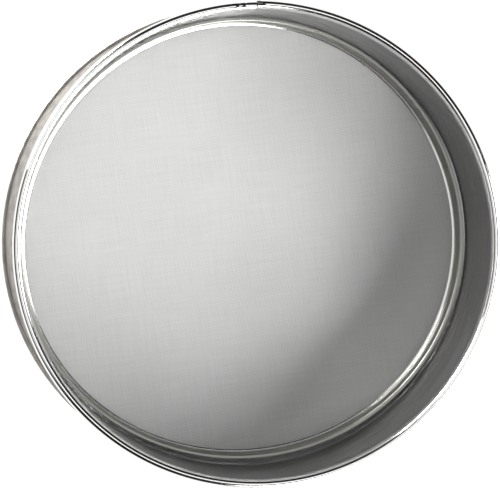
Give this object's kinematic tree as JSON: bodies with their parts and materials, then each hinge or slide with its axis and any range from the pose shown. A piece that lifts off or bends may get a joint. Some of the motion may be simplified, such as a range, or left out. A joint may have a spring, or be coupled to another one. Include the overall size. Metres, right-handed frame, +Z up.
{
  "type": "soil sieve",
  "caption": "Round sheet-metal soil sieve: a shallow drum with a rolled rim, fine woven wire cloth stretched across its foot and a clamping hoop inside.",
  "frame": {"origin": "centre of the drum's foot, on the plane that the folded hem rests on", "axes": "+Z up along the drum's axis towards the open rim, +X to the right and +Y towards the lap seam"},
  "size_m": [0.2, 0.2005, 0.05],
  "materials": {
    "drum_sheet": "bright rolled tinned sheet with fine rolling marks around the drum",
    "weld_nuggets": "small pressed spot welds, dull and slightly heat-marked",
    "wire_mesh": "fine plain-weave bright wire, satin at a distance",
    "hoop_sheet": "satin spring sheet with fine marks around the ring"
  },
  "bodies": {
    "root": {"drum_wall": "drum_sheet", "seam_welds": "weld_nuggets", "wire_cloth": "wire_mesh", "clamp_hoop": "hoop_sheet"}
  },
  "joints": []
}
